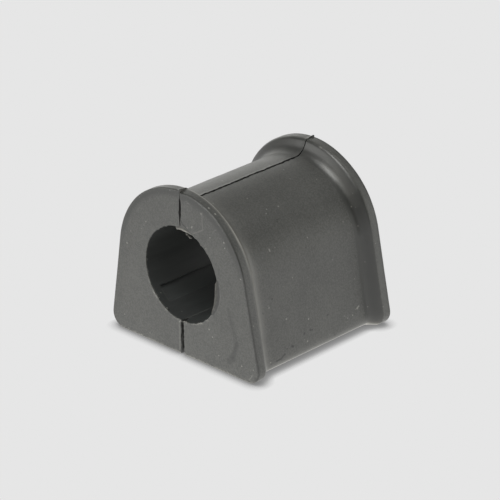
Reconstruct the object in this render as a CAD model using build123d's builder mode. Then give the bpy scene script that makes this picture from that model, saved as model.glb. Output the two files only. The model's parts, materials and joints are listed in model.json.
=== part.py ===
from build123d import *
import os
from math import cos, radians, sin, tan

os.makedirs("parts", exist_ok=True)

# Driving dimensions, in millimetres and degrees.
# The bore runs along Y, the base lies on Z = 0, and the origin is the middle of the base.
length = 44.6
bore_radius = 12.0
bore_height = 20.8

# Strap seat: the arch between the two flanges.
seat_radius = 19.35
seat_centre = 19.35
seat_flare = 8.65
seat_corner = 2.65

# Flange: the arch at each end, which stands out beyond the strap seat all round.
flange_gain = 1.95
flange_lift = 1.45
flange_flare = 10.4
flange_corner = 3.5
rim_width = 2.5
edge_round = 0.45

# Sloping inner side of each flange, with a rounded root where it meets the strap seat.
root_angle = 53.0
root_round = 2.0

# Gap between the two halves, which leans a little to one side.
gap_base = 1.1
gap_crown = 0.6
gap_lean = 0.42

# Shallow pocket along the lower part of each bore wall, with a lip left at both mouths.
pocket_lip = 2.4
pocket_top_angle = 34.5
pocket_foot_angle = 56.5
pocket_depth = 0.85

# The flange's crown is larger than the seat's by the gain, and its centre is higher by the lift.
flange_radius = seat_radius + flange_gain
flange_centre = seat_centre + flange_lift
flange_top = flange_centre + flange_radius
seat_top = seat_centre + seat_radius
flange_rise = flange_top - seat_top
slope = radians(root_angle)
arc_run = root_round * sin(slope)
arc_rise = root_round * (1 - cos(slope))
slope_run = (flange_rise - arc_rise) / tan(slope)
rim_y = length / 2 - rim_width
root_end_y = rim_y - slope_run
root_start_y = root_end_y - arc_run


def section_plane(y):
    return Plane(origin=(0, y, 0), x_dir=(1, 0, 0), z_dir=(0, -1, 0))


def arch_profile(y, share):
    # the closed outline at a station along the bore: share 0 is the strap seat, share 1 the flange
    radius = seat_radius + share * (flange_radius - seat_radius)
    centre = seat_centre + share * (flange_centre - seat_centre)
    corner = seat_corner + share * (flange_corner - seat_corner)
    flare = radians(seat_flare + share * (flange_flare - seat_flare))
    reach = radius + centre * sin(flare)
    foot = (reach - corner - corner * sin(flare)) / cos(flare)
    half = (flare - radians(90)) / 2
    hip = (radius * cos(flare), centre + radius * sin(flare))
    knee = (foot + corner * cos(flare), corner + corner * sin(flare))
    bend = (foot + corner * cos(half), corner + corner * sin(half))
    with BuildSketch(section_plane(y)) as profile:
        with BuildLine():
            Line((-foot, 0), (foot, 0))
            ThreePointArc((foot, 0), bend, knee)
            Line(knee, hip)
            ThreePointArc(hip, (0, centre + radius), (-hip[0], hip[1]))
            Line((-hip[0], hip[1]), (-knee[0], knee[1]))
            ThreePointArc((-knee[0], knee[1]), (-bend[0], bend[1]), (-foot, 0))
        make_face()
    return profile.sketch.face()


def at_ends(edge):
    return abs(abs(edge.center().Y) - length / 2) < 0.001


with BuildPart() as block:
    extrude(arch_profile(0, 0), amount=root_start_y, both=True)
    for side in (-1, 1):
        # rounded root
        stations = [arch_profile(side * root_start_y, 0)]
        for step in (0.25, 0.5, 0.75, 1.0):
            turn = slope * step
            rise = root_round * (1 - cos(turn))
            stations.append(arch_profile(side * (root_start_y + root_round * sin(turn)), rise / flange_rise))
        loft(sections=stations)
        # straight slope up to the rim
        foot_of_slope = arch_profile(side * root_end_y, arc_rise / flange_rise)
        loft(sections=[foot_of_slope, arch_profile(side * rim_y, 1)], ruled=True)
        # rim
        extrude(arch_profile(side * (length - rim_width) / 2, 1), amount=rim_width / 2, both=True)
    fillet(block.edges().filter_by(at_ends), radius=edge_round)
    with BuildSketch(section_plane(0)):
        with Locations((0, bore_height)):
            Circle(bore_radius)
    extrude(amount=length, both=True, mode=Mode.SUBTRACT)
    for hand in (-1, 1):
        near = 0.8 * bore_radius
        deep = bore_radius + pocket_depth
        top = radians(-pocket_top_angle)
        low = radians(-pocket_foot_angle)
        with BuildSketch(section_plane(0)):
            with BuildLine():
                Polyline(
                    (hand * near * cos(top), bore_height + near * sin(top)),
                    (hand * deep * cos(top), bore_height + deep * sin(top)),
                    (hand * bore_radius * cos(low), bore_height + bore_radius * sin(low)),
                    (hand * near * cos(low), bore_height + near * sin(low)),
                    close=True,
                )
            make_face()
        extrude(amount=length / 2 - pocket_lip, both=True, mode=Mode.SUBTRACT)


def gap_edge(hand, z):
    # x of the gap's face at a height, on the left (-1) or on the right (1)
    share = z / flange_top
    middle = gap_lean * (2 * share - 1)
    return middle + hand * (gap_base + share * (gap_crown - gap_base)) / 2


def far_side(hand):
    # the region beyond this half's face of the gap, a little taller and wider than the block
    low = -rim_width
    high = flange_top + rim_width
    far = -hand * 2 * flange_radius
    with BuildSketch(section_plane(0)) as region:
        with BuildLine():
            Polyline(
                (gap_edge(hand, low), low),
                (gap_edge(hand, high), high),
                (far, high),
                (far, low),
                close=True,
            )
        make_face()
    return region.sketch.face()


with BuildPart() as left_half:
    add(block.part)
    extrude(far_side(-1), amount=length, both=True, mode=Mode.SUBTRACT)

with BuildPart() as right_half:
    add(block.part)
    extrude(far_side(1), amount=length, both=True, mode=Mode.SUBTRACT)

left_half.part.label = "left_half"
right_half.part.label = "right_half"
export_step(left_half.part, "parts/left_half.step")
export_step(right_half.part, "parts/right_half.step")
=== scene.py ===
"""Makes a moulded rubber bar bushing in two halves, its torn rubber, and the stage it stands on."""

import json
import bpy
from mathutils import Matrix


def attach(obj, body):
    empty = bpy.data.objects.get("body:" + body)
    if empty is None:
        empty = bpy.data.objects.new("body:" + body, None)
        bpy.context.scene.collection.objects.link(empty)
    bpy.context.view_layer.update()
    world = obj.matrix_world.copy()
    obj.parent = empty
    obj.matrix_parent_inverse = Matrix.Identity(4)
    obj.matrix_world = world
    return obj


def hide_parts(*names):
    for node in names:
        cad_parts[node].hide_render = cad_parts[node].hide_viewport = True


bl_info = {
    "name": "Split Bar Bushing",
    "version": (1, 0, 0),
    "blender": (4, 5, 0),
    "location": "View3D > Sidebar > Bushing",
    "description": "Builds a split rubber bushing for a round bar, with its finish and a studio stage",
    "category": "Object",
}

from math import cos, degrees, pi, radians, sin, tan

import bmesh
import bpy
import numpy as np
from bpy.props import FloatProperty, FloatVectorProperty, PointerProperty
from mathutils import Matrix, Vector, noise

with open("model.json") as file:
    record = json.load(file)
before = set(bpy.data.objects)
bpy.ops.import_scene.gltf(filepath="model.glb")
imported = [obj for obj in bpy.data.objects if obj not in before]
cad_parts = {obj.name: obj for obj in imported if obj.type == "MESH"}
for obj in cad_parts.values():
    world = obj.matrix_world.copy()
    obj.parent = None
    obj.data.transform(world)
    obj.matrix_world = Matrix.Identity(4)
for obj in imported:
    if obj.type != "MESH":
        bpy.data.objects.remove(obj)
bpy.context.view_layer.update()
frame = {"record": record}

MM = 0.001
LEFT = -1
RIGHT = 1

# stations along the bore, rows between skin and bore, and how near two points are that count as one
STATION_STEP = 0.34 * MM
FACE_ROWS = 26
WELD = 0.001 * MM

# rows of a film from wall to torn edge, degrees between its stations, and millimetres of mouth a degree
FILM_ROWS = 7
FILM_STEP = 0.8
ARC_PER_DEGREE = 0.21

bore_mount = next(m for m in frame["record"]["mounts"] if m["name"] == "bore")


def length_of(name, description, default):
    return FloatProperty(name=name, description=description, default=default, unit="LENGTH")


def angle_of(name, description, in_degrees):
    return FloatProperty(name=name, description=description, default=radians(in_degrees), subtype="ANGLE")


def share_of(name, description, default):
    return FloatProperty(name=name, description=description, default=default, subtype="FACTOR")


def colour_of(name, description, default):
    return FloatVectorProperty(name=name, description=description, default=default, subtype="COLOR")


class BushingSizes(bpy.types.PropertyGroup):
    """Sizes of the rubber"""

    length: length_of("Length", "Overall length along the bore", bore_mount["dims"]["length_mm"] * MM)
    bore_radius: length_of("Bore radius", "Radius of the hole for the bar", bore_mount["dims"]["r_mm"] * MM)
    bore_height: length_of("Bore height", "Height of the bore's axis above the base", bore_mount["pos_m"][2])
    seat_radius: length_of("Seat radius", "Crown radius of the strap seat between the flanges", 19.35 * MM)
    seat_centre: length_of("Seat centre", "Height of the centre of the seat's crown", 19.35 * MM)
    seat_flare: angle_of("Seat flare", "How far the seat's sides lean out towards the base", 8.65)
    seat_corner: length_of("Seat corner", "Radius of the seat's lower corners", 2.65 * MM)
    flange_gain: length_of(
        "Flange gain", "How much larger the flange's crown radius is than the seat's", 1.95 * MM
    )
    flange_lift: length_of(
        "Flange lift", "How much higher the centre of the flange's crown is than the seat's", 1.45 * MM
    )
    flange_flare: angle_of("Flange flare", "How far the flange's sides lean out towards the base", 10.4)
    flange_corner: length_of("Flange corner", "Radius of the flange's lower corners", 3.5 * MM)
    rim_width: length_of("Rim width", "Width of the flange's outer band", 2.65 * MM)
    face_round: length_of("Face round", "Rounding between an end face and the rim", 0.36 * MM)
    rim_round: length_of("Rim round", "Rounding between the rim and the flange's sloping side", 1.2 * MM)
    root_angle: angle_of("Root angle", "Slope of the flange's inner side", 62.0)
    root_round: length_of("Root round", "Rounding where the sloping side meets the seat", 3.0 * MM)
    side_rim_round: length_of(
        "Side rim round",
        "Rim round down the sides of the back flange, whose edges are crisper there than at its crown",
        0.5 * MM,
    )
    side_root_round: length_of("Side root round", "Root round down the sides of the back flange", 1.0 * MM)
    back_spread: length_of(
        "Back spread",
        "How much further the back flange stands out on the right than it would if it matched the front",
        0.28 * MM,
    )
    mouth_round: length_of("Mouth round", "Rounding at the mouths of the bore", 0.09 * MM)
    gap_base: length_of("Gap at the base", "Width of the cut at the base", 1.1 * MM)
    gap_crown: length_of("Gap at the crown", "Width of the cut at the crown", 0.5 * MM)
    gap_lean: length_of("Gap lean", "How far the cut leans to one side from base to crown", 0.42 * MM)
    pocket_lip: length_of("Pocket lip", "Full-round lip left at each mouth of the bore", 2.4 * MM)
    pocket_top: angle_of("Pocket top", "Angle below level of the pocket's step", 34.5)
    pocket_foot: angle_of("Pocket foot", "Angle below level where the pocket's floor meets the wall", 56.5)
    pocket_depth: length_of("Pocket depth", "Depth of the pocket's step", 0.75 * MM)


class RubberLook(bpy.types.PropertyGroup):
    """Colours and finish of the rubber"""

    skin_colour: colour_of("Skin", "Colour of the moulded rubber", (0.0375, 0.0385, 0.0355))
    bloom_colour: colour_of(
        "Bloom", "Pale bloom where the rubber has been rubbed or has dried", (0.072, 0.073, 0.068)
    )
    # the dust colour also paints highlights and reflections along edges, and light on the cut faces and the
    # films
    dust_and_highlight_colour: colour_of("Dust", "Colour of the dust specks and of dried edges", (0.42, 0.41, 0.38))
    cut_colour: colour_of("Cut", "Colour of the freshly cut faces", (0.040, 0.041, 0.040))
    roughness: share_of("Roughness", "Roughness of the moulded skin", 0.42)
    cove_polish: share_of(
        "Cove polish", "How much smoother the flanges' sloping sides are than the rest of the skin", 0.06
    )


class StageLook(bpy.types.PropertyGroup):
    """Floor, surroundings and camera"""

    floor_colour: colour_of("Floor", "Colour of the floor", (0.791, 0.791, 0.791))
    floor_glow: FloatProperty(
        name="Floor glow",
        description="Light that the pale floor throws back up close to the bushing",
        default=1.75,
    )
    room_strength: FloatProperty(
        name="Room", description="Brightness of the dim room behind the soft boxes", default=0.02
    )
    camera_turn: angle_of(
        "Camera turn", "Angle of the camera round the bushing, from square on to the front face", 45.71
    )
    camera_rise: angle_of("Camera rise", "Angle of the camera above the floor", 24.52)
    camera_roll: angle_of("Camera roll", "Tilt of the camera about its own axis", -1.497)
    camera_distance: length_of(
        "Camera distance", "Distance from the camera to the middle of the bushing", 0.6348
    )
    lens: FloatProperty(
        name="Lens", description="Focal length in millimetres on a 36 mm sensor", default=192.37
    )


def sizes():
    return bpy.context.scene.bushing_sizes


def look():
    return bpy.context.scene.bushing_rubber


def stage_look():
    return bpy.context.scene.bushing_stage


# Shape of the halves


def fade(distance, width):
    """1 where the distance is 0, and close to 0 from about twice the width on."""
    return np.exp(-((distance / width) ** 2))


def wander(*place):
    """Smooth noise between -1 and 1."""
    return noise.noise(Vector(place))


def rounded_line(corners, radii, step):
    """A line through the corners with each inner one rounded, and points about a step apart on its runs."""
    points = [Vector(corners[0])]
    for before, here, after, radius in zip(corners, corners[1:], corners[2:], radii):
        here = Vector(here)
        inward = (Vector(before) - here).normalized()
        outward = (Vector(after) - here).normalized()
        turn = pi - inward.angle(outward)
        run = radius * tan(turn / 2)
        start = here + inward * run
        centre = here + (inward + outward).normalized() * radius / cos(turn / 2)
        add_run(points, start, step)
        from_centre = start - centre
        side = 1 if inward.cross(outward) < 0 else -1
        arc_steps = max(4, round(turn * 10))
        for k in range(1, arc_steps):
            points.append(centre + Matrix.Rotation(side * turn * k / arc_steps, 2) @ from_centre)
        points.append(here + outward * run)
    add_run(points, Vector(corners[-1]), step)
    return np.array([tuple(p) for p in points])


def add_run(points, end, step):
    start = points[-1]
    count = max(1, round((end - start).length / step))
    for k in range(1, count + 1):
        points.append(start.lerp(end, k / count))


def flange_line(s, step, root_round, rim_round):
    """The outer skin along the bore, end to end: y, and height above the seat."""
    rise = s.flange_gain + s.flange_lift
    half = s.length / 2
    rim_y = half - s.rim_width
    root_y = rim_y - rise / tan(s.root_angle)
    back = [(root_y, 0), (rim_y, rise), (half, rise), (half, rise - s.face_round)]
    front = [(-y, height) for y, height in reversed(back)]
    radii = [root_round, rim_round, s.face_round]
    return rounded_line(front + back, radii[::-1] + radii, step)


def outer_stations(s):
    """Stations along the bore: y, flange share at the crown and at the sides, inset from the outline."""
    rise = s.flange_gain + s.flange_lift
    half = s.length / 2
    line = flange_line(s, STATION_STEP, s.root_round, s.rim_round)
    keep = np.ones(len(line), bool)
    keep[1:] = np.hypot(*(line[1:] - line[:-1]).T) > 0.01 * MM
    y, height = line[keep].T
    near_end = np.abs(y) > half - s.rim_width / 2
    inset = np.where(near_end, rise - height, 0.0)
    share = np.where(near_end, 1.0, height / rise)
    side_y, side_height = flange_line(s, STATION_STEP / 3, s.side_root_round, s.side_rim_round).T
    side_share = np.where(near_end, 1.0, np.interp(y, side_y, side_height) / rise)
    return y, share, np.where(y > 0, side_share, share), inset


def arch_reach(s, stations, angle):
    """Distance from the bore's axis to the arch, at each station (rows) and angle above level (columns)."""
    _, share, side_share, inset = (row[:, None] for row in stations)
    sideways = np.clip((radians(50) - angle) / radians(30), 0, 1)
    share = share + (side_share - share) * sideways
    radius = s.seat_radius + share * s.flange_gain
    centre = s.seat_centre + share * s.flange_lift
    corner = s.seat_corner + share * (s.flange_corner - s.seat_corner)
    flare = s.seat_flare + share * (s.flange_flare - s.seat_flare)
    reach = radius + centre * np.sin(flare)
    foot = (reach - corner - corner * np.sin(flare)) / np.cos(flare)
    axis = s.bore_height
    small = corner - inset
    large = radius - inset
    # the angles where the crown, the side, the corner's bend and the base take over from each other
    hip = np.arctan2(centre + large * np.sin(flare) - axis, large * np.cos(flare))
    knee = np.arctan2(corner + small * np.sin(flare) - axis, foot + small * np.cos(flare))
    toe = np.arctan2(inset - axis, foot)
    across = np.cos(angle)
    up = np.sin(angle)
    drop = axis - centre
    crown = -drop * up + np.sqrt(np.maximum(large**2 - (drop * across) ** 2, 0))
    side = (reach - inset - np.sin(flare) * axis) / (np.cos(flare) * across + np.sin(flare) * up)
    along = -foot * across + (axis - corner) * up
    room = along**2 - foot**2 - (axis - corner) ** 2 + small**2
    bend = -along + np.sqrt(np.maximum(room, 0))
    base = (inset - axis) / np.minimum(up, -0.01)
    return np.select([angle >= hip, angle >= knee, angle >= toe], [crown, side, bend], base)


def cut_offset(s, hand, z, y):
    """Distance of this half's cut face from the middle plane at a height, measured towards its own side."""
    share = z / (s.seat_centre + s.seat_radius + s.flange_gain + s.flange_lift)
    lean = s.gap_lean * (2 * share - 1)
    return hand * lean + cut_open(s, z, y) * (s.gap_base + share * (s.gap_crown - s.gap_base)) / 2


def cut_open(s, z, y):
    """How far open the cut stands: nearly closed below the bore, pinching and gaping at the crown."""
    from_end = (s.length / 2 - np.abs(y)) / MM
    below = 1 - 0.95 * np.clip((from_end - 0.9) / 1.3, 0, 1)
    heights = [33.0, 34.0, 35.0, 35.8, 39.2, 40.2, 41.2]
    at_end = np.interp(z / MM, heights, [0.55, 0.6, 0.7, 1.15, 1.1, 0.6, 0.25])
    along_crown = 0.85
    closing = 0.4 * np.clip((y / MM - 14.5) / 2.0, 0, 1)
    above = along_crown + fade(from_end, 1.6) * (at_end - along_crown) - closing
    return np.where(z < s.bore_height, below, above)


def fray_cut(s, hand, grid):
    """Moves the rubber at the cut, so that it pinches, gapes and frays; alike for points patches share."""
    heights = [9.0, 32.8, 34.2, 35.0, 35.9, 39.0, 40.0, 42.2]
    gapes = [0.0, 0.0, 0.02, 0.08, 0.28, 0.28, 0.06, -0.12]
    narrowest = 0.09
    frayed = grid.copy()
    for row in frayed:
        for point in row:
            x, y, z = point / MM
            if abs(x) > 2.6:
                continue
            off = hand * x - cut_offset(s, hand, z * MM, y * MM) / MM
            open_share = cut_open(s, z * MM, y * MM)
            half_gap = open_share * s.gap_crown / 2 / MM
            move = fade(s.length / 2 / MM + y, 1.6) * np.interp(z, heights, gapes)
            move += 0.20 * wander(y / 0.9, z / 1.1, 40.0 + 9.0 * hand)
            move += 0.13 * wander(y / 0.4, z / 0.5, 60.0 + 9.0 * hand)
            move *= min(1, 1.5 * open_share)
            point[0] += hand * fade(off, 0.7) * max(move, min(narrowest, 0.7 * half_gap) - half_gap) * MM
    return frayed


def cut_waver(s, y, z, hand):
    """How a knife cut wanders: a slow waver that both halves share, and a fine tear of each half's own."""
    along = y / MM
    up = z / MM
    slow = 0.16 * wander(along / 4.5, up / 9.0, 3.1)
    fine = 0.11 * wander(along / 1.1, up / 1.6, 11.0 + 7.0 * hand)
    fine += 0.07 * wander(along / 0.5, up / 0.8, 23.0 + 7.0 * hand)
    return (hand * slow + fine * min(1, 1.5 * cut_open(s, z, y))) * MM


def half_grid(s, hand):
    """One half's skin and bore, as stations along the bore and as angle and distance round its axis."""
    stations = outer_stations(s)
    y, share, _, _ = stations
    count = len(y)
    nominal = np.radians(cross_angles(s))
    spread = (nominal[0] - nominal) / (nominal[0] - nominal[-1])

    # the cut's place on the skin depends on the reach there, so each end of the skin is found in a few rounds
    ends = []
    for way in (1, -1):
        angle = np.full((count, 1), way * radians(89))
        for _ in range(5):
            reach = arch_reach(s, stations, angle)
            z = s.bore_height + reach * np.sin(angle)
            offset = cut_offset(s, hand, z, y[:, None])
            for j in range(count):
                offset[j, 0] += cut_waver(s, y[j], z[j, 0], hand)
            angle = way * np.arccos(np.clip(offset / reach, -1, 1))
        ends.append(angle)
    skin_angle = ends[0] + spread[None, :] * (ends[1] - ends[0])

    bore_y, mouth = bore_stations(s, count)
    radius = s.bore_radius + mouth[:, None] + 0 * spread[None, :]
    bore_ends = []
    for way in (1, -1):
        z = s.bore_height + way * s.bore_radius
        offset = np.array([[cut_offset(s, hand, z, v) + cut_waver(s, v, z, hand)] for v in bore_y])
        bore_ends.append(way * np.arccos(offset / radius[:, :1]))
    inside = (np.abs(bore_y) < s.length / 2 - s.pocket_lip)[:, None]
    return {
        "y": y,
        "share": share,
        "nominal": nominal,
        "skin_angle": skin_angle,
        "skin_reach": arch_reach(s, stations, skin_angle),
        "bore_y": bore_y,
        "bore_angle": bore_ends[0] + spread[None, :] * (bore_ends[1] - bore_ends[0]),
        "bore_radius": radius + np.where(inside, pocket_profile(s, nominal)[None, :], 0.0),
    }


def cross_angles(s):
    """Angles above level at which a half is sampled, crown to base, closer at the cuts and the pocket."""
    near_cut = [0, 0.3, 0.6, 1.0, 1.5, 2.1, 2.9, 3.9]
    step_at = -degrees(s.pocket_top)
    foot_at = -degrees(s.pocket_foot)
    upper = [90 - a for a in near_cut]
    lower = [-90 + a for a in reversed(near_cut)]
    middle = list(np.linspace(upper[-1], step_at + 0.06, 86)[1:])
    corner = list(np.linspace(step_at - 0.06, foot_at, 32))
    tail = list(np.linspace(foot_at, lower[0], 26)[1:])
    return np.array(upper + middle + corner + tail + lower[1:])


def pocket_profile(s, angle):
    """Extra depth of the wall in the pocket: a step at its top, then a floor that runs out to a crease."""
    top = -s.pocket_top
    foot = -s.pocket_foot
    crease = 0.06 * MM
    floor = crease + (s.pocket_depth - crease) * (angle - foot) / (top - foot)
    return np.where((angle < top) & (angle > foot), floor, 0.0)


def bore_stations(s, count):
    """Stations along the bore wall: y, and how far the wall opens out at the rounded mouths."""
    half = s.length / 2
    lip_y = half - s.pocket_lip
    beside_lip = 0.02 * MM
    turn = np.linspace(0, pi / 2, 5)
    arc_y = half - s.mouth_round * np.sin(turn)
    arc_open = s.mouth_round * (1 - np.cos(pi / 2 - turn))
    lip = np.linspace(arc_y[-1], lip_y + beside_lip, 8)[1:]
    shoulder = lip_y - beside_lip
    rest = count - 2 * (len(arc_y) + len(lip) + 1)
    inner = np.linspace(shoulder, -shoulder, rest + 2)[1:-1]
    back = np.r_[arc_y, lip, shoulder]
    opening = np.r_[arc_open, np.zeros(len(lip) + 1)]
    return np.r_[-back, inner[::-1], back[::-1]], np.r_[opening, np.zeros(rest), opening[::-1]]


def cut_edge_lift(s, hand, y, from_cut, upper):
    """How far the skin beside the cut stands proud (+) or has drooped (-), in metres."""
    d = from_cut / MM
    if not upper:
        return -0.10 * MM * fade(d, 0.4)
    if hand == RIGHT:
        droop = fade(s.length / 2 + y, 1.4 * MM)
        return -(0.04 + 0.40 * droop) * MM * fade(d, 0.5 + 1.1 * droop)
    proud = 0.08 + 0.34 * fade(s.length / 2 - abs(y), 1.7 * MM)
    return proud * MM * fade(d, 0.55)


def half_points(s, hand):
    """Points of one half's skin and bore, and the grid that they came from."""
    g = half_grid(s, hand)
    reach = g["skin_reach"].copy()
    for j, y in enumerate(g["y"]):
        angle = g["skin_angle"][j]
        from_top = (angle[0] - angle) * reach[j]
        from_base = (angle - angle[-1]) * reach[j]
        reach[j] += cut_edge_lift(s, hand, y, from_top, True)
        tear = 0.5 + 0.5 * wander(y / MM / 0.8, 5.0 * hand, 1.0)
        reach[j] += 0.08 * MM * tear * fade(from_top, 0.35 * MM)
        reach[j] += np.where(np.cos(angle) < 0.5, cut_edge_lift(s, hand, y, from_base, False), 0.0)
    skin = place(s, hand, reach, g["skin_angle"], g["y"])
    if hand == RIGHT:
        low = np.clip((radians(65) - g["skin_angle"]) / radians(30), 0, 1)
        outside = np.clip(skin[:, :, 0] / (15 * MM), 0, 1)
        at_back = (g["share"] * (g["y"] > 0))[:, None]
        skin[:, :, 0] += s.back_spread * at_back * low * outside
    bore = place(s, hand, g["bore_radius"], g["bore_angle"], g["bore_y"])
    rough_mouth(s, hand, bore, g)
    swell(s, skin)
    return skin, bore, g


def place(s, hand, reach, angle, y):
    x = hand * reach * np.cos(angle)
    z = s.bore_height + reach * np.sin(angle)
    return np.dstack([x, np.broadcast_to(y[:, None], x.shape), z])


def push_out(s, point, amount):
    """Moves a point straight away from the bore's axis."""
    out = point - np.array([0.0, point[1], s.bore_height])
    point += out / np.linalg.norm(out) * amount


def swell(s, skin):
    """Slow unevenness of moulded rubber, left out near the base so that it still stands flat."""
    for row in skin:
        for point in row:
            lift = min(max((point[2] / MM - 1.0) / 4.0, 0), 1)
            if lift > 0:
                at = Vector(point / MM)
                push_out(s, point, (0.07 * wander(*at / 9.0) + 0.018 * wander(*at / 2.2)) * lift * MM)


def rough_mouth(s, hand, bore, g):
    """Small teeth of flash left round both mouths of the bore, longer on the left half."""
    for j, y in enumerate(g["bore_y"]):
        near = fade(s.length / 2 - abs(y), 0.30 * MM)
        if near < 0.02:
            continue
        side = 31.0 * hand + (50.0 if y > 0 else 0.0)
        for i, angle in enumerate(g["nominal"]):
            along = angle * s.bore_radius / MM
            tooth = wander(along / 1.1, side, 0.5) + 0.6 * wander(along / 0.45, side, 7.5)
            inward = (0.15 * max(tooth, -0.2) + max(tooth - 0.42, 0)) * MM * near
            push_out(s, bore[j, i], -inward * (1.5 if hand == LEFT else 1.0))


def between(first, second):
    """Rows of points in equal steps between two rows of points, both included."""
    t = np.linspace(0, 1, FACE_ROWS)[:, None, None]
    return first[None] * (1 - t) + second[None] * t


def in_cove(s, grid, kind, g):
    """True on the flanges' sloping sides and on the pocket's floor."""
    if kind == "bore":
        between_lips = np.abs(g["bore_y"]) <= s.length / 2 - s.pocket_lip
        return (g["bore_radius"] > s.bore_radius + 0.01 * MM) & between_lips[:, None]
    inside = np.zeros(grid.shape[:2], bool)
    if kind == "skin":
        slope_end = np.where(g["y"] > 0, 0.97, 0.80)
        inside[(g["share"] > 0.01) & (g["share"] < slope_end)] = True
    return inside


def build_half(s, hand, name):
    skin, bore, g = half_points(s, hand)
    patches = [
        (skin, 0, "skin"),
        (bore, 1, "bore"),
        (between(skin[0], bore[0]), 0, "face"),
        (between(skin[-1], bore[-1]), 0, "face"),
        (between(skin[:, 0], bore[:, 0]), 2, "cut"),
        (between(skin[:, -1], bore[:, -1]), 2, "cut"),
    ]
    points = []
    quads = []
    slots = []
    values = {"edge_wear": [], "pale_ridge": [], "cove": []}
    for grid, slot, kind in patches:
        rows, columns, _ = grid.shape
        start = len(points)
        points.extend(fray_cut(s, hand, grid).reshape(-1, 3))
        values["edge_wear"].extend(edge_wear(s, grid, kind).ravel())
        values["pale_ridge"].extend(pale_ridge(s, grid, kind).ravel())
        values["cove"].extend(in_cove(s, grid, kind, g).astype(float).ravel())
        for j in range(rows - 1):
            for i in range(columns - 1):
                a = start + j * columns + i
                quads.append((a, a + 1, a + columns + 1, a + columns))
                slots.append(slot)
    paints = (moulded_rubber, bore_rubber, cut_rubber)
    return closed_piece(name, points, quads, values, radians(38), paints, slots)


def closed_piece(name, points, faces, values, crease, paints, slots=None):
    """An object made of points and faces, with point attributes, that has to be closed all round."""
    mesh = bpy.data.meshes.new(name)
    mesh.from_pydata([tuple(p) for p in points], [], faces)
    if slots:
        mesh.polygons.foreach_set("material_index", slots)
    for key, numbers in values.items():
        mesh.attributes.new(key, "FLOAT", "POINT").data.foreach_set("value", numbers)
    work = bmesh.new()
    work.from_mesh(mesh)
    bmesh.ops.remove_doubles(work, verts=work.verts, dist=WELD)
    bmesh.ops.recalc_face_normals(work, faces=work.faces)
    open_edges = [e for e in work.edges if len(e.link_faces) != 2]
    if open_edges:
        raise RuntimeError(f"{name} has {len(open_edges)} open edges")
    work.to_mesh(mesh)
    work.free()
    mesh.shade_smooth()
    mesh.set_sharp_from_angle(angle=crease)
    for paint in paints:
        mesh.materials.append(material_of(paint))
    piece = bpy.data.objects.new(name, mesh)
    bpy.context.scene.collection.objects.link(piece)
    return piece


def edge_wear(s, grid, kind):
    """Painted light and shade along edges: above 0 where an edge is painted paler, and below 0 where it is
    painted darker.
    """
    x, y, z = np.moveaxis(grid, 2, 0)
    from_end = (s.length / 2 - np.abs(y)) / MM
    from_skin = np.linalg.norm(grid - grid[:1], axis=2) / MM
    if kind == "skin":
        # painted shade: a dark line along the rounded edge of the end faces; on the front flange a painted
        # highlight on the rim's back corner; on the back flange a rim painted paler and a sloping side
        # painted darker
        shadow = np.where((x > 0) & (z > 25 * MM), -2.0, -1.7)
        ends = fade(from_end - 0.15, 0.3464)
        past_corner = from_end - s.rim_width / MM
        back = np.where(past_corner < 0, 1.5, -3.6 * fade(past_corner - 0.8, 1.0))
        corner = np.where(y < 0, 0.9 * fade(past_corner, 0.3), back)
        return np.where(ends > 0.05, shadow * ends, corner)
    # painted highlight: a pale line round both mouths of the bore
    if kind == "bore":
        return 0.8 * fade(from_end, 0.2828)
    # painted highlight round the mouth, and painted shade in a band inside the face's upper outer edge, where
    # the face rolls over
    if kind == "face":
        from_mouth = (np.hypot(x, z - s.bore_height) - s.bore_radius) / MM
        high = np.clip((z / MM - 24) / 8, 0, 1)
        return 0.7 * fade(from_mouth, 0.5) - 3.0 * high * fade(from_skin - 0.5, 0.8)
    # painted light on the cut faces near the crown at the front, where the narrow gap keeps them in shade
    at_front = np.exp(-(((s.length / 2 + y) / (3.4 * MM)) ** 4)) * (z > s.bore_height)
    return at_front * fade(from_skin - 0.6, 0.5)


def nicks(s, x, z):
    """How whole the painted highlight round a mouth is: about 1 along most of it, and near 0 at its nicks."""
    along = np.arctan2(z - s.bore_height, x) * s.bore_radius / MM
    tooth = np.vectorize(lambda a: wander(a / 0.7, 9.0, 0.5))(along)
    return np.clip(0.5 + 1.6 * tooth, 0.05, 1.3)


def pale_ridge(s, grid, kind):
    """Painted highlights and reflections along edges: behind the front rim and on the root beside it, along
    the base as a reflection of the floor, and round the mouths.
    """
    x, y, z = np.moveaxis(grid, 2, 0)
    from_end = (s.length / 2 - np.abs(y)) / MM
    low = np.clip((s.bore_height - 2 * MM - z) / (4 * MM), 0, 1)
    if kind == "skin":
        from_corner = (s.rim_width - s.length / 2 - y) / MM
        from_root = from_corner + 0.6
        high = np.clip((z / MM - 24) / 10, 0, 1)
        # painted highlight on the front rim's back corner and on the root behind it; painted reflection of
        # the floor along the base
        rim = (0.6 + 4.0 * high) * fade(from_corner + 0.2 - 0.2 * high, 0.48)
        root = (2.15 - 1.0 * high) * fade(from_root, np.where(from_root > 0, 0.5, 2.3 + 0.9 * high))
        on_rim = from_end < s.rim_width / MM
        base = np.where(on_rim, 2.2, 5.6) * fade(z, 0.80 * MM)
        base += np.where(on_rim, 0.0, 0.45) * fade(z, 2.6 * MM)
        return np.maximum(np.maximum(rim, root), base)
    if kind == "bore":
        # painted highlight low round both mouths of the bore
        return 2.0 * low * fade(from_end, 0.22) * nicks(s, x, z)
    if kind == "face":
        from_mouth = (np.hypot(x, z - s.bore_height) - s.bore_radius) / MM
        # painted highlight round the lower left of the front mouth, and painted reflection of the floor along
        # the face's base
        mouth = 1.8 * low * (x < 0) * fade(from_mouth - 0.05, 0.22) * nicks(s, x, z)
        return np.maximum(mouth, 0.6 * fade(z, 0.22 * MM))
    return 0 * y


# Torn rubber round the mouths of the bore


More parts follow.
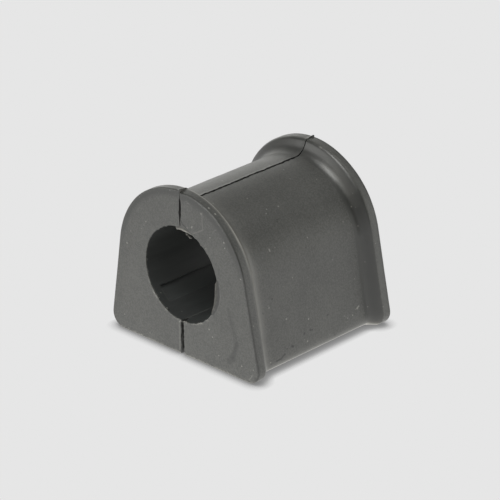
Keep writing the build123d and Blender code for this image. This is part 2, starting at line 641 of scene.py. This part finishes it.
def front_films():
    """Films of flash at the front mouth.

    Each has the painted light on its torn edge, then rows of angle above level in degrees, and in millimetres
    its outer and inner edge from the wall (+ is into the bore) and its forward lift.
    """
    return {
        "mouth_flash_top": (1.0, [
            (96.0, -0.25, 0.05, 0.02),
            (94.5, -0.30, 0.48, 0.10),
            (92.5, -0.45, 0.46, 0.22),
            (90.0, -0.70, 0.26, 0.20),
            (87.0, -0.85, 0.30, 0.14),
            (82.5, -0.80, 0.24, 0.16),
            (78.5, -0.60, 0.14, 0.12),
            (75.0, -0.35, 0.08, 0.06),
            (71.0, -0.25, 0.05, 0.02),
        ]),
        "mouth_flash_curl": (1.0, [
            (79.6, -0.20, 0.22, 0.05),
            (78.9, 0.20, 0.50, 0.12),
            (77.4, 0.52, 0.66, 0.20),
            (74.5, 0.66, 0.76, 0.24),
            (71.0, 0.74, 0.82, 0.22),
            (68.5, 0.76, 0.80, 0.16),
        ]),
        "mouth_flash_right": (0.25, [
            (10.0, -0.25, 0.06, 0.04),
            (6.0, -0.25, 0.52, 0.12),
            (-3.0, -0.30, 0.62, 0.22),
            (-12.0, -0.30, 0.55, 0.20),
            (-22.0, -0.25, 0.42, 0.14),
            (-30.0, -0.25, 0.30, 0.10),
            (-35.0, -0.25, 0.04, 0.02),
        ]),
        "mouth_flash_low": (0.8, [
            (-78.0, -0.20, 0.05, 0.02),
            (-82.0, -0.20, 0.22, 0.10),
            (-85.5, -0.25, 0.34, 0.16),
            (-88.4, -0.45, 0.30, 0.14),
            (-89.6, -0.30, 0.05, 0.06),
        ]),
        "mouth_flash_left": (0.6, [
            (148.0, -0.15, 0.02, 0.03),
            (165.0, -0.15, 0.10, 0.10),
            (185.0, -0.18, 0.16, 0.16),
            (205.0, -0.18, 0.10, 0.14),
            (222.0, -0.15, 0.06, 0.10),
            (223.5, -0.15, -0.05, -0.15),
            (225.0, -0.15, 0.20, 0.16),
            (235.0, -0.18, 0.30, 0.22),
            (247.0, -0.18, 0.28, 0.24),
            (256.0, -0.18, 0.12, 0.16),
            (262.5, -0.20, 0.30, 0.20),
            (265.5, -0.30, 0.36, 0.18),
            (267.6, -0.45, 0.26, 0.14),
            (268.8, -0.30, 0.05, 0.05),
        ]),
    }


def back_films():
    """Films of flash at the back mouth, which the front view hides."""
    return {
        "back_flash_top": (0.6, [
            (86.0, -0.20, 0.05, 0.02),
            (82.0, -0.25, 0.40, 0.12),
            (70.0, -0.25, 0.30, 0.15),
            (58.0, -0.20, 0.05, 0.04),
        ]),
        "back_flash_low": (0.6, [
            (-46.0, -0.20, 0.03, 0.03),
            (-60.0, -0.20, 0.18, 0.12),
            (-76.0, -0.20, 0.25, 0.14),
            (-86.0, -0.20, 0.10, 0.05),
        ]),
        "back_flash_left": (0.6, [
            (112.0, -0.15, 0.02, 0.02),
            (140.0, -0.15, 0.12, 0.12),
            (190.0, -0.15, 0.10, 0.16),
            (230.0, -0.15, 0.04, 0.06),
        ]),
    }


def build_film(s, name, torn_edge_light, rows, end):
    """A thin torn film that grows out of the wall at one mouth of the bore, closed all round."""
    knots = np.array(sorted(rows))
    count = max(8, round((knots[-1, 0] - knots[0, 0]) / FILM_STEP))
    angles = np.linspace(knots[0, 0], knots[-1, 0], count)
    outers, inners, lifts = (np.interp(angles, knots[:, 0], column) for column in knots.T[1:])
    seed = 17.0 * len(name)
    front = []
    back = []
    for angle, outer, inner, lift in zip(angles, outers, inners, lifts):
        along = angle * ARC_PER_DEGREE
        rag = wander(along / 0.7, seed, 0.0) + 0.7 * wander(along / 0.3, seed, 4.0)
        reach = inner + 0.28 * rag * max(inner, 0.12)
        # a film that starts deep in the wall comes forward sooner
        sudden = 1.5 - min(max(-outer - 0.3, 0) / 0.4, 1)
        for k in range(FILM_ROWS):
            t = k / (FILM_ROWS - 1)
            buckle = 0.05 * t * wander(along / 0.5, t * 2.0, seed + 9.0)
            out = s.bore_radius - (outer + (reach - outer) * t) * MM
            y = s.length / 2 + (-0.22 + (0.22 + lift) * t**sudden + buckle) * MM
            thick = (0.09 - 0.05 * t) * MM
            x = out * cos(radians(angle))
            z = s.bore_height + out * sin(radians(angle))
            front.append((x, end * (y + thick), z))
            back.append((x, end * (y - thick), z))
    layer = count * FILM_ROWS
    last = FILM_ROWS - 1
    faces = []
    for i in range(count - 1):
        for a in range(i * FILM_ROWS, i * FILM_ROWS + last):
            faces.append((a, a + 1, a + FILM_ROWS + 1, a + FILM_ROWS))
            faces.append((layer + a, layer + a + FILM_ROWS, layer + a + FILM_ROWS + 1, layer + a + 1))
    rim = [i * FILM_ROWS for i in range(count)]
    rim += [layer - FILM_ROWS + k for k in range(1, FILM_ROWS)]
    rim += [i * FILM_ROWS + last for i in range(count - 2, -1, -1)]
    rim += list(range(last - 1, 0, -1))
    for a, b in zip(rim, rim[1:] + rim[:1]):
        faces.append((a, b, layer + b, layer + a))
    # painted light: only the inner half of the film, towards its torn edge, is painted paler
    film_edge_light = [torn_edge_light * max(0, 2 * (k % FILM_ROWS) / last - 1) for k in range(2 * layer)]
    return closed_piece(name, front + back, faces, {"edge_wear": film_edge_light}, radians(50), [thin_flash])


# Finishes, with painted light and shade


def marks():
    """Marks on the skin: start, end and width in millimetres, and how pale (+) or dark (-) they are."""
    on_face = [
        ((7.7, 38.8), (7.65, 36.8), 0.24, 0.12),
        ((7.65, 36.8), (7.85, 34.6), 0.24, 0.16),
        ((7.85, 34.6), (4.5, 32.7), 0.24, 0.16),
        ((22.7, 2.4), (21.6, 0.9), 0.20, 0.22),
        ((15.3, 17.0), (17.9, 8.9), 0.8, -0.34),
        ((17.9, 8.9), (16.4, 4.6), 0.9, -0.55),
        ((16.6, 4.9), (15.2, 3.6), 1.2, -0.45),
        ((-1.24, 8.0), (-1.57, 0.9), 0.22, 0.14),
        ((-1.77, 6.0), (-2.0, 1.2), 0.24, -0.35),
        ((-18.49, 23.33), (-18.5, 23.35), 0.24, 0.85),
        ((-11.46, 30.86), (-11.5, 30.9), 0.20, 0.55),
        ((-11.76, 1.86), (-11.8, 1.9), 0.20, 0.6),
        ((-16.87, 26.93), (-16.9, 26.9), 0.18, 0.45),
        ((14.67, 33.44), (14.7, 33.5), 0.26, 0.9),
        ((10.1, 33.3), (10.1, 33.32), 0.22, 0.6),
        ((8.65, 30.1), (8.66, 30.1), 0.22, 0.6),
        ((22.46, 17.09), (22.47, 17.1), 0.22, 0.7),
        ((7.38, 38.47), (7.39, 38.5), 0.26, 0.6),
        ((4.3, 34.4), (4.1, 34.0), 0.24, 0.5),
        ((2.5, 33.5), (2.55, 33.5), 0.28, 0.4),
        ((12.2, 35.9), (11.2, 35.3), 0.2, 0.12),
        # painted shade: a dark crease beside the top of the cut, under the flash
        ((0.45, 34.9), (0.95, 34.0), 0.26, -0.8),
        ((0.95, 34.0), (2.0, 33.55), 0.30, -0.9),
        ((2.0, 33.55), (3.3, 32.65), 0.26, -0.7),
        ((1.9, 32.85), (4.8, 31.95), 0.20, 0.16),
        ((-0.95, 8.7), (-0.9, 8.65), 0.26, 0.45),
        ((1.05, 8.75), (1.3, 8.7), 0.22, 0.30),
    ]
    elsewhere = [
        ((9.01, -21.3, 40.1), (9.02, -21.3, 40.1), 0.30, 1.0),
        ((10.85, -21.2, 39.13), (10.86, -21.2, 39.1), 0.30, 1.0),
        ((21.86, -7.98, 4.33), (21.8, -8.3, 4.5), 0.42, -1.0),
        ((21.85, -9.96, 4.41), (21.9, -9.9, 4.4), 0.29, -0.81),
        ((21.56, -1.92, 6.3), (21.57, -1.7, 6.25), 0.32, -0.88),
        ((21.59, -1.29, 6.08), (21.6, -1.2, 6.1), 0.29, -0.81),
        ((21.58, -3.97, 6.14), (21.6, -3.8, 6.2), 0.35, -0.88),
        ((21.32, 4.3, 7.88), (21.33, 4.4, 7.9), 0.38, -0.74),
        ((22.16, 5.89, 2.33), (22.17, 6.0, 2.3), 0.35, -0.68),
        ((21.14, -1.94, 9.03), (21.15, -1.9, 9.0), 0.27, 0.6),
        ((21.93, -3.2, 3.89), (21.9, -3.2, 3.9), 0.27, 0.6),
        ((21.54, 14.74, 6.44), (21.6, 14.2, 6.1), 0.35, 0.54),
        ((20.78, -8.86, 11.42), (20.8, -8.9, 11.4), 0.29, 0.48),
        ((20.11, -13.82, 15.81), (20.1, -13.8, 15.8), 0.29, 0.48),
        ((22.1, -13.6, 2.75), (22.1, -12.2, 2.75), 0.32, -0.81),
        ((22.1, -12.2, 2.75), (21.99, -10.8, 3.5), 0.29, -0.74),
        ((17.16, -10.34, 28.1), (17.12, -10.34, 28.5), 0.28, 0.6),
        ((19.85, -12.5, 17.56), (19.86, -12.5, 17.5), 0.30, -0.9),
        ((13.72, -4.2, 33.0), (13.74, -4.2, 33.0), 0.30, -0.9),
        ((18.26, 0.43, 25.74), (18.3, 0.43, 25.7), 0.28, -0.8),
        ((14.08, -4.61, 32.62), (14.0, -4.4, 32.6), 0.32, -0.54),
        ((6.69, 7.4, 37.51), (6.7, 7.5, 37.5), 0.22, 0.35),
        ((15.96, 18.99, 32.88), (16.0, 19.0, 32.8), 0.24, 0.8),
        ((16.6, 17.78, 29.98), (16.6, 17.8, 29.9), 0.24, 0.6),
        ((17.28, 18.5, 29.81), (17.3, 18.5, 29.7), 0.22, 0.4),
        ((18.98, 19.26, 28.64), (19.0, 19.3, 28.6), 0.26, 0.5),
        ((19.96, 20.64, 28.23), (20.0, 20.6, 28.2), 0.24, 0.45),
        ((4.69, 19.76, 41.29), (5.2, 19.7, 41.1), 0.4, 0.35),
        # painted glint along the front corner of the back flange's rim
        ((7.55, 20.3, 40.66), (10.2, 20.3, 39.5), 0.20, 0.26),
        ((10.2, 20.3, 39.5), (13.2, 20.3, 37.5), 0.20, 0.22),
        ((13.2, 20.3, 37.5), (15.2, 20.2, 35.5), 0.20, 0.08),
        # painted highlight that widens the streak on the back flange's sloping side
        ((7.9, 18.7, 37.9), (10.3, 18.85, 36.8), 1.8, 0.16),
        ((10.3, 18.85, 36.8), (12.8, 18.95, 35.1), 1.8, 0.22),
        ((12.8, 18.95, 35.1), (15.2, 19.1, 33.0), 1.8, 0.22),
        ((15.0, 19.1, 33.2), (16.9, 19.3, 30.6), 1.6, 0.12),
    ]
    on_face += mouth_arc(12.45, 9, -33, 0.7, -0.85) + mouth_arc(13.0, 6, -30, 0.22, 0.14)
    y = -sizes().length / 2 / MM
    for (x, z), (to_x, to_z), width, amount in on_face:
        elsewhere.append(((x, y, z), (to_x, y, to_z), width, amount))
    return elsewhere


def mouth_arc(radius, first, last, width, amount):
    """Marks on the face that follow the mouth: radius in millimetres, then angles above level in degrees."""
    height = sizes().bore_height / MM
    spots = []
    for share in np.linspace(0, 1, 6):
        turn = radians(first + (last - first) * share)
        bulge = radius - 0.35 * (2 * share - 1) ** 2
        spots.append((bulge * cos(turn), height + bulge * sin(turn)))
    return [(start, end, width, amount) for start, end in zip(spots, spots[1:])]


def bore_marks():
    """Marks on the bore's wall: the lip of its cut, a painted highlight on the lip at the end of the pocket,
    and the crease at its foot.
    """
    return [
        ((-0.55, -21.5, 8.8), (-0.45, -14.0, 8.8), 0.20, 0.16),
        ((-0.45, -14.0, 8.8), (-0.40, 10.0, 8.8), 0.22, 0.12),
        # painted highlight on the lip at the end of the pocket
        ((-10.2, -19.95, 13.9), (-7.0, -19.95, 10.9), 0.24, 0.09),
        ((-6.9, -19.8, 10.8), (-6.9, -4.0, 10.8), 0.22, 0.07),
        ((-9.0, -20.9, 12.9), (-8.95, -20.8, 12.8), 0.2, 0.35),
        ((-3.4, -19.5, 9.3), (-3.3, -19.4, 9.3), 0.2, 0.25),
    ]


class Tree:
    """A node tree being built: values go into sockets, and a value that is itself a socket is linked."""

    def __init__(self, tree):
        self.nodes = tree.nodes
        self.links = tree.links

    def fill(self, socket, value):
        if isinstance(value, bpy.types.NodeSocket):
            self.links.new(value, socket)
        else:
            socket.default_value = value

    def add(self, kind, *inputs, **values):
        """Adds a node: inputs fill its sockets in order, and values its sockets or settings by name."""
        node = self.nodes.new(kind)
        for key, value in values.items():
            if key in node.inputs:
                self.fill(node.inputs[key], value)
            else:
                setattr(node, key, value)
        for socket, value in zip(node.inputs, inputs):
            self.fill(socket, value)
        return node

    def math(self, operation, first, second=0.0):
        return self.add("ShaderNodeMath", first, second, operation=operation).outputs[0]

    def plus(self, first, second):
        return self.math("ADD", first, second)

    def minus(self, first, second):
        return self.math("SUBTRACT", first, second)

    def times(self, first, second):
        return self.math("MULTIPLY", first, second)

    def larger(self, first, second):
        return self.math("MAXIMUM", first, second)

    def vector(self, operation, first, second=(0, 0, 0)):
        return self.add("ShaderNodeVectorMath", first, second, operation=operation).outputs["Vector"]

    def scaled(self, vector, factor):
        return self.add("ShaderNodeVectorMath", vector, operation="SCALE", Scale=factor).outputs["Vector"]

    def measure(self, operation, first, second=(0, 0, 0)):
        """A number taken from vectors, such as a length or a dot product."""
        return self.add("ShaderNodeVectorMath", first, second, operation=operation).outputs["Value"]

    def ranged(self, value, low, high, out_low=0.0, out_high=1.0):
        return self.add("ShaderNodeMapRange", value, low, high, out_low, out_high).outputs["Result"]

    def blend(self, factor, first, second):
        """A mix of two colours or colour sockets."""
        mix = self.add("ShaderNodeMix", data_type="RGBA")
        self.fill(mix.inputs[0], factor)
        for socket, value in ((mix.inputs[6], first), (mix.inputs[7], second)):
            self.fill(socket, value if isinstance(value, bpy.types.NodeSocket) else (*value, 1))
        return mix.outputs[2]

    def own_place(self):
        return self.add("ShaderNodeTexCoord").outputs["Object"]

    def attribute(self, name):
        return self.add("ShaderNodeAttribute", attribute_name=name).outputs["Fac"]

    def noise(self, where, scale, detail, roughness):
        made = self.add("ShaderNodeTexNoise", where, Scale=scale, Detail=detail, Roughness=roughness)
        return made.outputs["Fac"]

    def spots(self, where, scale, core, rim, rarity, strength):
        """Sparse dots: whole within core of a cell's point, gone at rim, and only in cells above rarity."""
        cells = self.add("ShaderNodeTexVoronoi", Vector=where, Scale=scale, Randomness=1.0)
        chosen = self.add("ShaderNodeTexWhiteNoise", Vector=cells.outputs["Position"])
        dot = self.ranged(cells.outputs["Distance"], core, rim, 1.0, 0.0)
        return self.times(dot, self.ranged(chosen.outputs["Value"], rarity, 1.0, 0.0, strength))

    def bump(self, height, strength, distance):
        made = self.add("ShaderNodeBump", Height=height, Strength=strength, Distance=distance)
        return made.outputs["Normal"]

    def dress(self, shader, colour, normal):
        self.fill(shader.inputs["Base Color"], colour)
        self.fill(shader.inputs["Normal"], normal)


def material_of(paint):
    """The material that one of the functions below paints, named after it and made when first needed."""
    name = paint.__name__
    if name not in bpy.data.materials:
        material = bpy.data.materials.new(name)
        material.use_nodes = True
        paint(Tree(material.node_tree))
    return bpy.data.materials[name]


def tinted(colour, share):
    return tuple(share * c for c in colour)


def mark_group():
    """Node group: 1 on a short line through the rubber, fading to 0 at its width."""
    group = bpy.data.node_groups.get("short_mark")
    if group:
        return group
    group = bpy.data.node_groups.new("short_mark", "ShaderNodeTree")
    for name in ("Place", "Start", "Run", "Share"):
        group.interface.new_socket(name, in_out="INPUT", socket_type="NodeSocketVector")
    group.interface.new_socket("Width", in_out="INPUT", socket_type="NodeSocketFloat")
    group.interface.new_socket("Mark", in_out="OUTPUT", socket_type="NodeSocketFloat")
    t = Tree(group)
    given = t.add("NodeGroupInput").outputs
    from_start = t.vector("SUBTRACT", given["Place"], given["Start"])
    held = t.add("ShaderNodeClamp", t.measure("DOT_PRODUCT", from_start, given["Share"])).outputs[0]
    off = t.vector("SUBTRACT", from_start, t.scaled(given["Run"], held))
    ratio = t.math("DIVIDE", t.measure("LENGTH", off), given["Width"])
    t.add("NodeGroupOutput", t.ranged(ratio, 0.35, 1.0, 1.0, 0.0))
    return group


def add_marks(t, where, rows):
    """Two masks on the rubber: its pale marks and its dark marks."""
    wobble = t.add("ShaderNodeTexNoise", where, Scale=1100.0, Detail=2.0).outputs["Color"]
    bent = t.vector("ADD", where, t.scaled(t.vector("SUBTRACT", wobble, (0.5, 0.5, 0.5)), 0.35 * MM))
    pale = dark = 0.0
    for start, end, width, amount in rows:
        start = Vector(start) * MM
        run = Vector(end) * MM - start
        mark = t.add("ShaderNodeGroup", node_tree=mark_group(), Place=bent, Start=start, Run=run)
        t.fill(mark.inputs["Share"], run / run.length_squared)
        t.fill(mark.inputs["Width"], width * MM)
        strength = t.times(mark.outputs["Mark"], abs(amount))
        if amount > 0:
            pale = t.larger(pale, strength)
        else:
            dark = t.larger(dark, strength)
    return pale, dark


def moulded_rubber(t):
    """Matt moulded skin: mottled and grainy, with dust, small pits and a few marks, and painted light and
    shade along its edges and on the flanges' sloping sides.
    """
    finish = look()
    shader = t.nodes["Principled BSDF"]
    where = t.own_place()
    cloud = t.noise(where, 90.0, 3.0, 0.5)
    mottle = t.noise(where, 520.0, 4.0, 0.65)
    grain = t.noise(where, 2500.0, 3.0, 0.65)
    painted_light_and_shade = t.attribute("edge_wear")
    cove = t.attribute("cove")
    pale = t.plus(t.ranged(cloud, 0.3, 0.7, -0.18, 0.18), t.ranged(mottle, 0.3, 0.7, -0.22, 0.22))
    pale = t.plus(pale, t.ranged(grain, 0.34, 0.66, -0.15, 1.15))
    # painted light and shade along the edges, taken from the edge attribute
    pale = t.plus(pale, t.times(t.times(painted_light_and_shade, t.ranged(mottle, 0.3, 0.65, 0.3, 1.0)), 0.35))
    # painted shade: the flanges' sloping sides are painted darker
    pale = t.minus(pale, t.times(cove, 0.75))
    colour = t.blend(pale, finish.skin_colour, finish.bloom_colour)

    drawn_pale, drawn_dark = add_marks(t, where, marks())
    specks = t.spots(where, 700.0, 0.07, 0.16, 0.80, 0.75)
    # dust specks, and pale marks of which some are painted highlights on the back flange
    dust_and_highlights = t.times(t.larger(specks, drawn_pale), 0.72)
    # painted highlights and reflections along the rims, the root, the base and the mouths
    edge_highlight_mask = t.times(t.attribute("pale_ridge"), t.ranged(cloud, 0.35, 0.65, 0.14, 0.22))
    colour = t.blend(t.larger(dust_and_highlights, edge_highlight_mask), colour, finish.dust_and_highlight_colour)

    # small pits and dark marks; the dark marks include painted shade beside the top of the cut
    pits_and_dark_marks = t.larger(t.spots(where, 420.0, 0.03, 0.12, 0.93, 0.5), drawn_dark)
    # painted shade: edges painted dark where the edge attribute is below 0, together with the pits and dark
    # marks
    pits_marks_and_painted_shade = t.larger(pits_and_dark_marks, t.times(painted_light_and_shade, -0.13))
    colour = t.blend(pits_marks_and_painted_shade, colour, tinted(finish.skin_colour, 0.15))

    # scuffs that run round the sloping sides of the flanges
    x, y, z = t.add("ShaderNodeSeparateXYZ", where).outputs
    up = t.minus(z, sizes().seat_centre)
    turn = t.times(t.math("ARCTAN2", x, up), 3.0 * MM)
    radius = t.math("SQRT", t.plus(t.times(up, up), t.times(x, x)))
    around = t.add("ShaderNodeCombineXYZ", turn, y, radius).outputs[0]
    scuffed = t.times(t.noise(around, 1500.0, 3.0, 0.6), cove)

    rough = t.ranged(mottle, 0.3, 0.7, finish.roughness - 0.03, finish.roughness + 0.04)
    t.fill(shader.inputs["Roughness"], t.minus(rough, t.times(cove, finish.cove_polish)))
    shader.inputs["IOR"].default_value = 1.52
    shader.inputs["Specular IOR Level"].default_value = 0.9
    height = t.plus(t.minus(t.times(grain, 0.45), pits_and_dark_marks), t.times(mottle, 0.7))
    t.dress(shader, colour, t.bump(t.plus(height, t.times(scuffed, 0.8)), 0.35, 0.05 * MM))


def bore_rubber(t):
    """The darker, smoother wall of the bore, with faint lines along it from the core pin, and painted light
    on the pocket's floor, low down and deep inside.
    """
    finish = look()
    shader = t.nodes["Principled BSDF"]
    where = t.own_place()
    stretched = t.add("ShaderNodeMapping", where, Scale=(1.0, 0.12, 1.0)).outputs[0]
    lines = t.noise(stretched, 700.0, 4.0, 0.6)
    # painted highlight round the mouths, taken from the edge attribute
    pale = t.larger(t.ranged(lines, 0.35, 0.75, 0.0, 0.25), t.attribute("edge_wear"))
    # painted light: the pocket's floor is painted paler
    pale = t.plus(pale, t.times(t.attribute("cove"), 0.22))
    # painted light: the wall is painted paler low down and deep inside
    _, y, z = t.add("ShaderNodeSeparateXYZ", where).outputs
    axis = sizes().bore_height
    pale = t.plus(pale, t.ranged(z, axis, axis - 8 * MM, 0.0, 0.20))
    pale = t.plus(pale, t.ranged(t.math("ABSOLUTE", y), 20 * MM, 10 * MM, 0.0, 0.18))
    cool = [tone * c for tone, c in zip((0.94, 1.0, 1.08), finish.skin_colour)]
    colour = t.blend(pale, tinted(cool, 0.7), tinted(cool, 2.1))
    drawn, _ = add_marks(t, where, bore_marks())
    # painted highlight low round the mouths
    edge_highlight_mask = t.times(t.attribute("pale_ridge"), t.ranged(lines, 0.4, 0.6, 0.0, 0.30))
    colour = t.blend(t.larger(drawn, edge_highlight_mask), colour, finish.dust_and_highlight_colour)
    shader.inputs["Roughness"].default_value = 0.52
    shader.inputs["IOR"].default_value = 1.52
    shader.inputs["Specular IOR Level"].default_value = 0.8
    t.dress(shader, colour, t.bump(lines, 0.3, 0.04 * MM))


def thin_flash(t):
    """Thin torn rubber, paler than the block because light passes through it."""
    finish = look()
    shader = t.nodes["Principled BSDF"]
    tear = t.noise(t.own_place(), 1400.0, 4.0, 0.7)
    # painted light on the thin torn edge of each film
    torn = t.times(t.ranged(tear, 0.35, 0.65, 0.25, 1.0), t.attribute("edge_wear"))
    colour = t.blend(t.plus(torn, 0.12), tinted(finish.skin_colour, 0.6), tinted(finish.dust_and_highlight_colour, 0.75))
    shader.inputs["Roughness"].default_value = 0.4
    t.dress(shader, colour, t.bump(tear, 0.5, 0.04 * MM))


def cut_rubber(t):
    """The rough face that a blade leaves, with drag marks across it and painted light near the crown at the
    front.
    """
    finish = look()
    shader = t.nodes["Principled BSDF"]
    stretched = t.add("ShaderNodeMapping", t.own_place(), Scale=(1.0, 0.3, 1.6)).outputs[0]
    drag = t.noise(stretched, 900.0, 5.0, 0.7)
    colour = t.blend(t.ranged(drag, 0.4, 0.8, 0.0, 0.5), finish.cut_colour, finish.bloom_colour)
    # painted light where the cut face lies in shade near the crown
    colour = t.blend(t.times(t.attribute("edge_wear"), 0.45), colour, finish.dust_and_highlight_colour)
    shader.inputs["Roughness"].default_value = 0.6
    shader.inputs["Specular IOR Level"].default_value = 0.8
    t.dress(shader, colour, t.bump(drag, 0.6, 0.1 * MM))


# Stage


def pale_floor(t):
    """Pale floor: plain to the eye apart from the soft shadow where the bushing stands."""
    near = stage_look().floor_glow
    away = t.measure("LENGTH", t.own_place())
    bounce = t.add("ShaderNodeEmission", (1.0, 0.99, 0.94, 1), t.ranged(away, 0.028, 0.10, near, 0.55 * near))
    path = t.add("ShaderNodeLightPath").outputs
    shade = t.add("ShaderNodeAmbientOcclusion", Distance=2.9 * MM, samples=16).outputs["AO"]
    soft = t.add("ShaderNodeFloatCurve", Value=t.larger(shade, t.minus(1.0, path["Is Camera Ray"])))
    curve = soft.mapping.curves[0]
    curve.points[0].location = (0.0, 0.24)
    curve.points[1].location = (1.0, 1.0)
    for spot in ((0.25, 0.30), (0.5, 0.40), (0.75, 0.73)):
        curve.points.new(*spot)
    soft.mapping.update()
    glow = t.add("ShaderNodeEmission", (*stage_look().floor_colour, 1), soft.outputs[0])
    seen = t.larger(t.larger(path["Is Camera Ray"], path["Is Glossy Ray"]), path["Is Transmission Ray"])
    mix = t.add("ShaderNodeMixShader", seen, bounce.outputs[0], glow.outputs[0])
    t.fill(t.nodes["Material Output"].inputs["Surface"], mix.outputs[0])


def build_floor():
    mesh = bpy.data.meshes.new("floor")
    reach = 2.0
    corners = [(-reach, -reach, 0), (reach, -reach, 0), (reach, reach, 0), (-reach, reach, 0)]
    mesh.from_pydata(corners, [], [(0, 1, 2, 3)])
    mesh.materials.append(material_of(pale_floor))
    floor = bpy.data.objects.new("floor", mesh)
    bpy.context.scene.collection.objects.link(floor)


def soft_boxes():
    """Soft boxes: turn from +X toward +Y and rise above the floor in degrees, tightness and strength."""
    return [
        (240, 5, 20, 4.75),
        (-75, 72, 50, 6.5),
        (-75, 72, 20, 0.91),
        (-75, 50, 20, 1.86),
        (60, 5, 20, 1.55),
        (30, 5, 20, 0.71),
        (150, 5, 20, 1.50),
        (180, 5, 20, 0.62),
        (90, 32, 14, 0.23),
        (135, 32, 14, 0.62),
        (180, 32, 14, 0.19),
        (270, 32, 14, 0.22),
        (60, 58, 14, 0.70),
        (240, 58, 14, 0.18),
    ]


def build_surroundings():
    """A dim room with soft boxes round the bushing, and one high up that draws the streak on the seat."""
    world = bpy.data.worlds.new("studio")
    bpy.context.scene.world = world
    world.use_nodes = True
    t = Tree(world.node_tree)
    direction = t.add("ShaderNodeTexCoord").outputs["Generated"]
    total = stage_look().room_strength
    for turn, rise, tightness, strength in soft_boxes():
        turn = radians(turn)
        rise = radians(rise)
        toward = (cos(turn) * cos(rise), sin(turn) * cos(rise), sin(rise))
        off = t.minus(t.measure("DOT_PRODUCT", direction, toward), 1.0)
        fall = t.math("EXPONENT", t.times(off, float(tightness)))
        total = t.plus(t.times(fall, strength), total)
    background = t.nodes["Background"]
    background.inputs["Color"].default_value = (1.0, 1.0, 0.965, 1)
    t.fill(background.inputs["Strength"], total)


def build_camera():
    set_up = stage_look()
    turn = set_up.camera_turn
    rise = set_up.camera_rise
    roll = set_up.camera_roll
    back = Vector((sin(turn) * cos(rise), -cos(turn) * cos(rise), sin(rise)))
    level = Vector((cos(turn), sin(turn), 0))
    upright = back.cross(level)
    across = cos(roll) * level + sin(roll) * upright
    up = cos(roll) * upright - sin(roll) * level
    # the middle of the bushing lies a little left of and above the middle of the picture
    aim = Vector((0, 0, 20 * MM)) + 0.143 * MM * across - 0.347 * MM * up
    data = bpy.data.cameras.new("camera")
    data.sensor_width = 36
    data.lens = set_up.lens
    data.clip_start = 0.01
    camera = bpy.data.objects.new("camera", data)
    spin = Matrix((across, up, back)).transposed().to_4x4()
    camera.matrix_world = Matrix.Translation(aim + back * set_up.camera_distance) @ spin
    bpy.context.scene.collection.objects.link(camera)
    bpy.context.scene.camera = camera


class BUSHING_OT_halves(bpy.types.Operator):
    """Builds the two moulded rubber halves"""

    bl_idname = "bushing.halves"
    bl_label = "Moulded halves"

    def execute(self, context):
        for hand, node in ((LEFT, "left_half"), (RIGHT, "right_half")):
            piece = build_half(sizes(), hand, node.replace("half", "rubber"))
            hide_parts(node)
            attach(piece, "root")
        return {"FINISHED"}


class BUSHING_OT_flash(bpy.types.Operator):
    """Builds the thin torn films of rubber round both mouths of the bore"""

    bl_idname = "bushing.flash"
    bl_label = "Torn flash"

    def execute(self, context):
        for films, end in ((front_films(), -1), (back_films(), 1)):
            for name, (torn_edge_light, rows) in films.items():
                film = build_film(sizes(), name, torn_edge_light, rows, end)
                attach(film, "root")
        return {"FINISHED"}


class BUSHING_OT_stage(bpy.types.Operator):
    """Builds the floor, the surroundings and the camera"""

    bl_idname = "bushing.stage"
    bl_label = "Studio stage"

    def execute(self, context):
        context.scene.view_settings.view_transform = "Standard"
        build_floor()
        build_surroundings()
        build_camera()
        return {"FINISHED"}


class BUSHING_PT_maker(bpy.types.Panel):
    """Lists the steps that build the bushing"""

    bl_label = "Split Bushing"
    bl_idname = "BUSHING_PT_maker"
    bl_space_type = "VIEW_3D"
    bl_region_type = "UI"
    bl_category = "Bushing"

    def draw(self, context):
        for step in steps:
            self.layout.operator(step.bl_idname)
        for group in (sizes(), look(), stage_look()):
            box = self.layout.box()
            for name in group.__annotations__:
                box.prop(group, name)


steps = (BUSHING_OT_halves, BUSHING_OT_flash, BUSHING_OT_stage)
classes = (BushingSizes, RubberLook, StageLook, *steps, BUSHING_PT_maker)


def register():
    for kind in classes:
        bpy.utils.register_class(kind)
    bpy.types.Scene.bushing_sizes = PointerProperty(type=BushingSizes)
    bpy.types.Scene.bushing_rubber = PointerProperty(type=RubberLook)
    bpy.types.Scene.bushing_stage = PointerProperty(type=StageLook)


def unregister():
    del bpy.types.Scene.bushing_stage
    del bpy.types.Scene.bushing_rubber
    del bpy.types.Scene.bushing_sizes
    for kind in reversed(classes):
        bpy.utils.unregister_class(kind)


def main():
    register()
    bpy.ops.bushing.halves()
    bpy.ops.bushing.flash()
    bpy.ops.bushing.stage()


if __name__ == "__main__":
    main()
